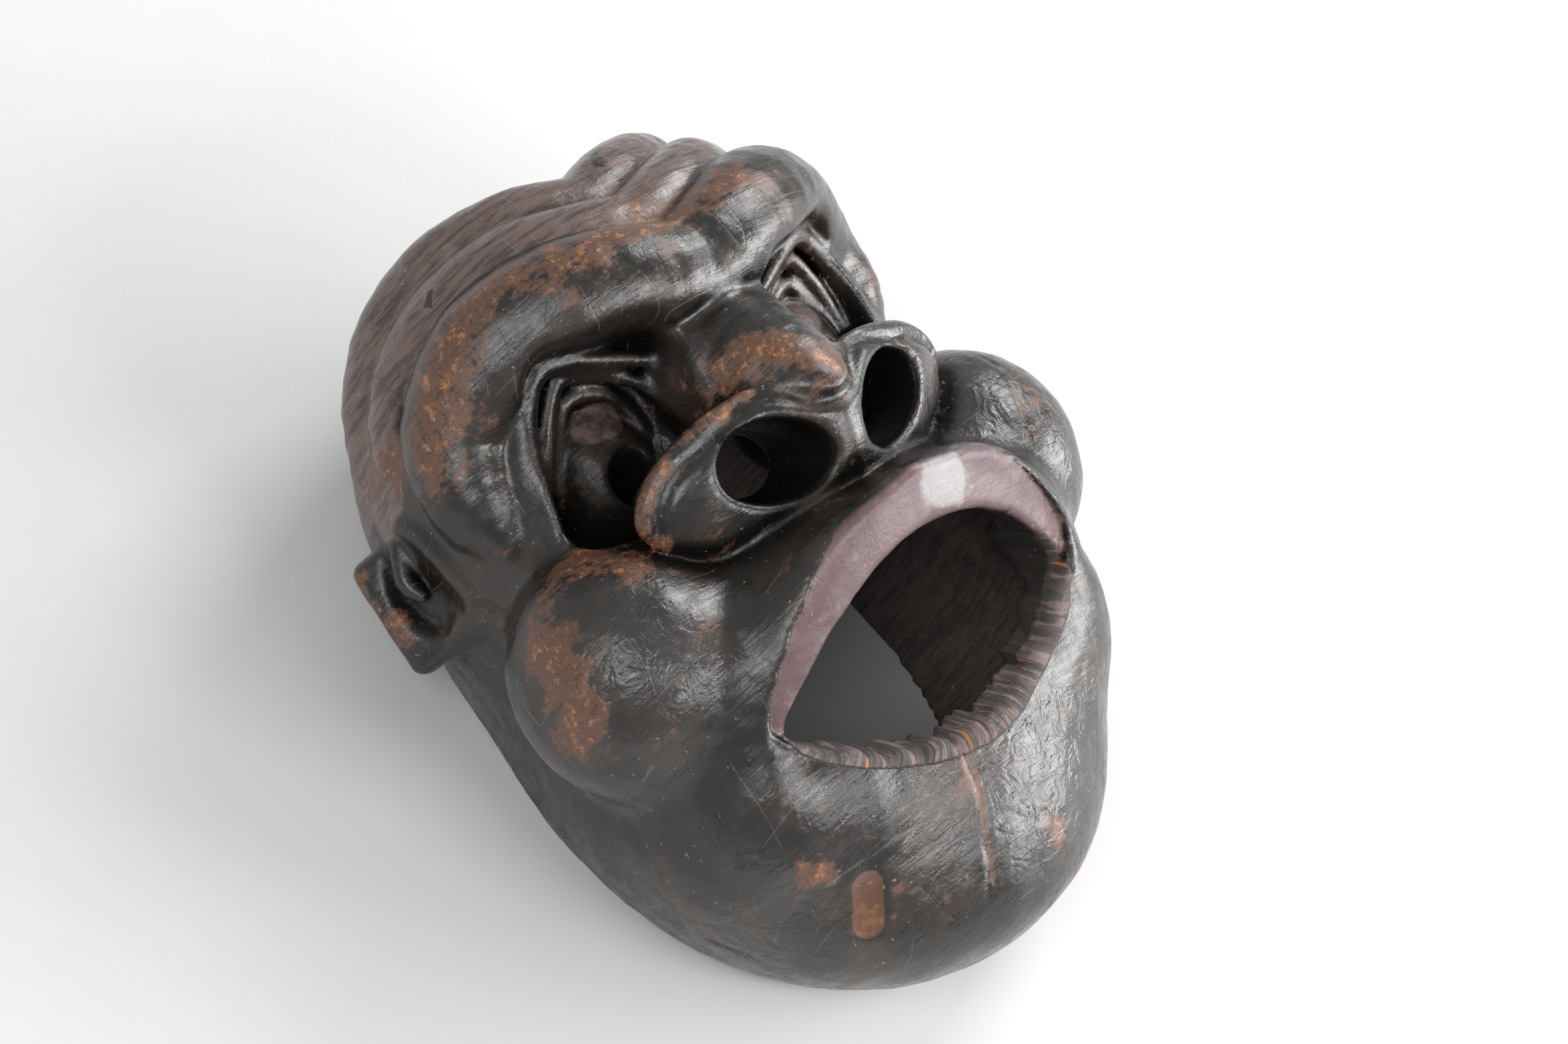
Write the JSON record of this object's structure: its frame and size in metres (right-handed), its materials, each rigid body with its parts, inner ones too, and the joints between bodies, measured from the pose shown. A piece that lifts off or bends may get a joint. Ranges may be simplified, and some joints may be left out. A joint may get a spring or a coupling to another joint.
{
  "type": "carved mask",
  "caption": "Carved wooden face mask, hollow at the back, with stacked brow rolls, puffed cheeks, flared pierced nostrils and a wide howling mouth with a broken lower lip.",
  "frame": {"origin": "middle of the footprint, on the flat rim the mask lies on", "axes": "+X across the face, +Y from the chin to the crown, +Z out of the face; the rim is the plane Z = 0"},
  "size_m": [0.2354, 0.3007, 0.1618],
  "materials": {
    "lacquered_wood": "worn black lacquer over carved wood, dusty satin, brown where rubbed"
  },
  "bodies": {
    "root": {"mask": "lacquered_wood"}
  },
  "joints": []
}
